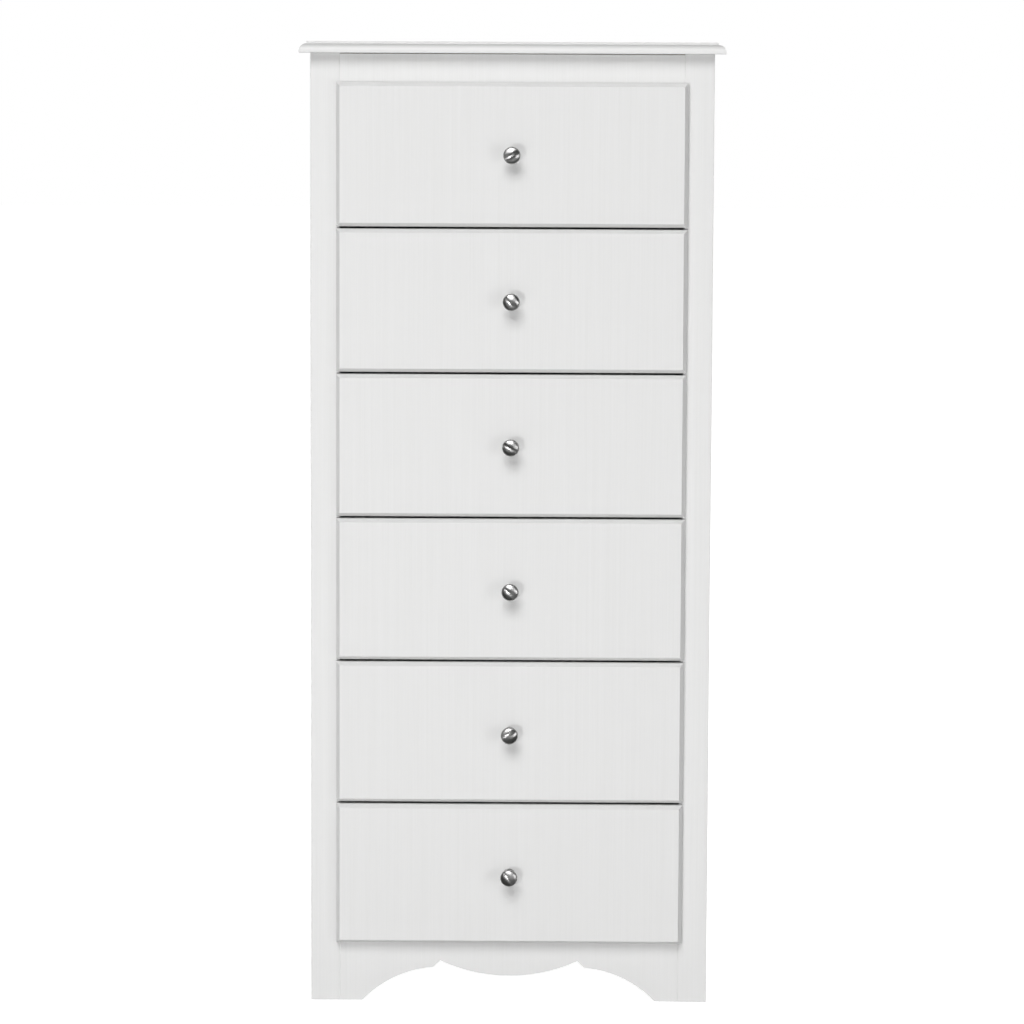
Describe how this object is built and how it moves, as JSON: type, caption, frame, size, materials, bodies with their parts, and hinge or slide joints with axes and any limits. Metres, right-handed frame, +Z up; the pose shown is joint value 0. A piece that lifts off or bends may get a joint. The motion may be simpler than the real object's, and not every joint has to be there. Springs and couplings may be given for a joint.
{
  "type": "tall chest of drawers",
  "caption": "Tall narrow chest of drawers in white laminate, with bevelled drawer fronts, round metal knobs, a moulded top and a scalloped base rail.",
  "frame": {"origin": "on the floor, midway across the width and midway through the depth, knobs included", "axes": "+Z up; the drawers face -Y and pull out that way; +X to the right seen from the front"},
  "size_m": [0.59, 0.4326, 1.35],
  "materials": {
    "white_laminate": "white wood-grain laminate on particle board, satin",
    "drawer_box_board": "smooth white foil on particle board, satin",
    "hardboard": "hardboard, painted white on the face inside the chest",
    "raw_board": "unfaced particle board",
    "brushed_nickel": "brushed nickel plate, satin",
    "coated_steel": "white epoxy coating on steel strip",
    "nylon": "natural white nylon"
  },
  "bodies": {
    "cabinet": {"top_board": "white_laminate", "left_side_panel": "white_laminate", "right_side_panel": "white_laminate", "left_front_stile": "white_laminate", "right_front_stile": "white_laminate", "top_front_rail": "white_laminate", "scalloped_base_rail": "white_laminate", "bottom_panel": "white_laminate", "back_panel": "hardboard", "rear_rails": "raw_board", "runner_packing_strips": "raw_board", "cabinet_runners": "coated_steel"},
    "drawer_1": {"drawer_1_front": "white_laminate", "drawer_1_sides": "drawer_box_board", "drawer_1_back": "drawer_box_board", "drawer_1_bottom": "hardboard", "drawer_1_knob": "brushed_nickel", "drawer_1_runners": "coated_steel"},
    "drawer_1_rear_rollers": {"drawer_1_rollers": "nylon"},
    "cabinet_front_rollers_1": {"cabinet_rollers_1": "nylon"},
    "drawer_2": {"drawer_2_front": "white_laminate", "drawer_2_sides": "drawer_box_board", "drawer_2_back": "drawer_box_board", "drawer_2_bottom": "hardboard", "drawer_2_knob": "brushed_nickel", "drawer_2_runners": "coated_steel"},
    "drawer_2_rear_rollers": {"drawer_2_rollers": "nylon"},
    "cabinet_front_rollers_2": {"cabinet_rollers_2": "nylon"},
    "drawer_3": {"drawer_3_front": "white_laminate", "drawer_3_sides": "drawer_box_board", "drawer_3_back": "drawer_box_board", "drawer_3_bottom": "hardboard", "drawer_3_knob": "brushed_nickel", "drawer_3_runners": "coated_steel"},
    "drawer_3_rear_rollers": {"drawer_3_rollers": "nylon"},
    "cabinet_front_rollers_3": {"cabinet_rollers_3": "nylon"},
    "drawer_4": {"drawer_4_front": "white_laminate", "drawer_4_sides": "drawer_box_board", "drawer_4_back": "drawer_box_board", "drawer_4_bottom": "hardboard", "drawer_4_knob": "brushed_nickel", "drawer_4_runners": "coated_steel"},
    "drawer_4_rear_rollers": {"drawer_4_rollers": "nylon"},
    "cabinet_front_rollers_4": {"cabinet_rollers_4": "nylon"},
    "drawer_5": {"drawer_5_front": "white_laminate", "drawer_5_sides": "drawer_box_board", "drawer_5_back": "drawer_box_board", "drawer_5_bottom": "hardboard", "drawer_5_knob": "brushed_nickel", "drawer_5_runners": "coated_steel"},
    "drawer_5_rear_rollers": {"drawer_5_rollers": "nylon"},
    "cabinet_front_rollers_5": {"cabinet_rollers_5": "nylon"},
    "drawer_6": {"drawer_6_front": "white_laminate", "drawer_6_sides": "drawer_box_board", "drawer_6_back": "drawer_box_board", "drawer_6_bottom": "hardboard", "drawer_6_knob": "brushed_nickel", "drawer_6_runners": "coated_steel"},
    "drawer_6_rear_rollers": {"drawer_6_rollers": "nylon"},
    "cabinet_front_rollers_6": {"cabinet_rollers_6": "nylon"}
  },
  "joints": [
    {"name": "drawer_1_slide", "type": "slide", "parent": "cabinet", "child": "drawer_1", "axis": [0, -1, 0], "range_m": [0, 0.27]},
    {"name": "drawer_1_roller_turn", "type": "hinge", "parent": "drawer_1", "child": "drawer_1_rear_rollers", "pos_m": [0, 0.16375, 1.1213], "axis": [1, 0, 0], "range_deg": [0, 1720]},
    {"name": "cabinet_roller_1_turn", "type": "hinge", "parent": "cabinet", "child": "cabinet_front_rollers_1", "pos_m": [0, -0.15425, 1.1265], "axis": [1, 0, 0], "range_deg": [0, 1720]},
    {"name": "drawer_2_slide", "type": "slide", "parent": "cabinet", "child": "drawer_2", "axis": [0, -1, 0], "range_m": [0, 0.27]},
    {"name": "drawer_2_roller_turn", "type": "hinge", "parent": "drawer_2", "child": "drawer_2_rear_rollers", "pos_m": [0, 0.16375, 0.9193], "axis": [1, 0, 0], "range_deg": [0, 1720]},
    {"name": "cabinet_roller_2_turn", "type": "hinge", "parent": "cabinet", "child": "cabinet_front_rollers_2", "pos_m": [0, -0.15425, 0.9245], "axis": [1, 0, 0], "range_deg": [0, 1720]},
    {"name": "drawer_3_slide", "type": "slide", "parent": "cabinet", "child": "drawer_3", "axis": [0, -1, 0], "range_m": [0, 0.27]},
    {"name": "drawer_3_roller_turn", "type": "hinge", "parent": "drawer_3", "child": "drawer_3_rear_rollers", "pos_m": [0, 0.16375, 0.7173], "axis": [1, 0, 0], "range_deg": [0, 1720]},
    {"name": "cabinet_roller_3_turn", "type": "hinge", "parent": "cabinet", "child": "cabinet_front_rollers_3", "pos_m": [0, -0.15425, 0.7225], "axis": [1, 0, 0], "range_deg": [0, 1720]},
    {"name": "drawer_4_slide", "type": "slide", "parent": "cabinet", "child": "drawer_4", "axis": [0, -1, 0], "range_m": [0, 0.27]},
    {"name": "drawer_4_roller_turn", "type": "hinge", "parent": "drawer_4", "child": "drawer_4_rear_rollers", "pos_m": [0, 0.16375, 0.5153], "axis": [1, 0, 0], "range_deg": [0, 1720]},
    {"name": "cabinet_roller_4_turn", "type": "hinge", "parent": "cabinet", "child": "cabinet_front_rollers_4", "pos_m": [0, -0.15425, 0.5205], "axis": [1, 0, 0], "range_deg": [0, 1720]},
    {"name": "drawer_5_slide", "type": "slide", "parent": "cabinet", "child": "drawer_5", "axis": [0, -1, 0], "range_m": [0, 0.27]},
    {"name": "drawer_5_roller_turn", "type": "hinge", "parent": "drawer_5", "child": "drawer_5_rear_rollers", "pos_m": [0, 0.16375, 0.3133], "axis": [1, 0, 0], "range_deg": [0, 1720]},
    {"name": "cabinet_roller_5_turn", "type": "hinge", "parent": "cabinet", "child": "cabinet_front_rollers_5", "pos_m": [0, -0.15425, 0.3185], "axis": [1, 0, 0], "range_deg": [0, 1720]},
    {"name": "drawer_6_slide", "type": "slide", "parent": "cabinet", "child": "drawer_6", "axis": [0, -1, 0], "range_m": [0, 0.27]},
    {"name": "drawer_6_roller_turn", "type": "hinge", "parent": "drawer_6", "child": "drawer_6_rear_rollers", "pos_m": [0, 0.16375, 0.1113], "axis": [1, 0, 0], "range_deg": [0, 1720]},
    {"name": "cabinet_roller_6_turn", "type": "hinge", "parent": "cabinet", "child": "cabinet_front_rollers_6", "pos_m": [0, -0.15425, 0.1165], "axis": [1, 0, 0], "range_deg": [0, 1720]}
  ],
  "couplings": [
    {"joint": "drawer_1_roller_turn", "follows": "drawer_1_slide", "rad_per_m": 111.11},
    {"joint": "cabinet_roller_1_turn", "follows": "drawer_1_slide", "rad_per_m": 111.11},
    {"joint": "drawer_2_roller_turn", "follows": "drawer_2_slide", "rad_per_m": 111.11},
    {"joint": "cabinet_roller_2_turn", "follows": "drawer_2_slide", "rad_per_m": 111.11},
    {"joint": "drawer_3_roller_turn", "follows": "drawer_3_slide", "rad_per_m": 111.11},
    {"joint": "cabinet_roller_3_turn", "follows": "drawer_3_slide", "rad_per_m": 111.11},
    {"joint": "drawer_4_roller_turn", "follows": "drawer_4_slide", "rad_per_m": 111.11},
    {"joint": "cabinet_roller_4_turn", "follows": "drawer_4_slide", "rad_per_m": 111.11},
    {"joint": "drawer_5_roller_turn", "follows": "drawer_5_slide", "rad_per_m": 111.11},
    {"joint": "cabinet_roller_5_turn", "follows": "drawer_5_slide", "rad_per_m": 111.11},
    {"joint": "drawer_6_roller_turn", "follows": "drawer_6_slide", "rad_per_m": 111.11},
    {"joint": "cabinet_roller_6_turn", "follows": "drawer_6_slide", "rad_per_m": 111.11}
  ]
}
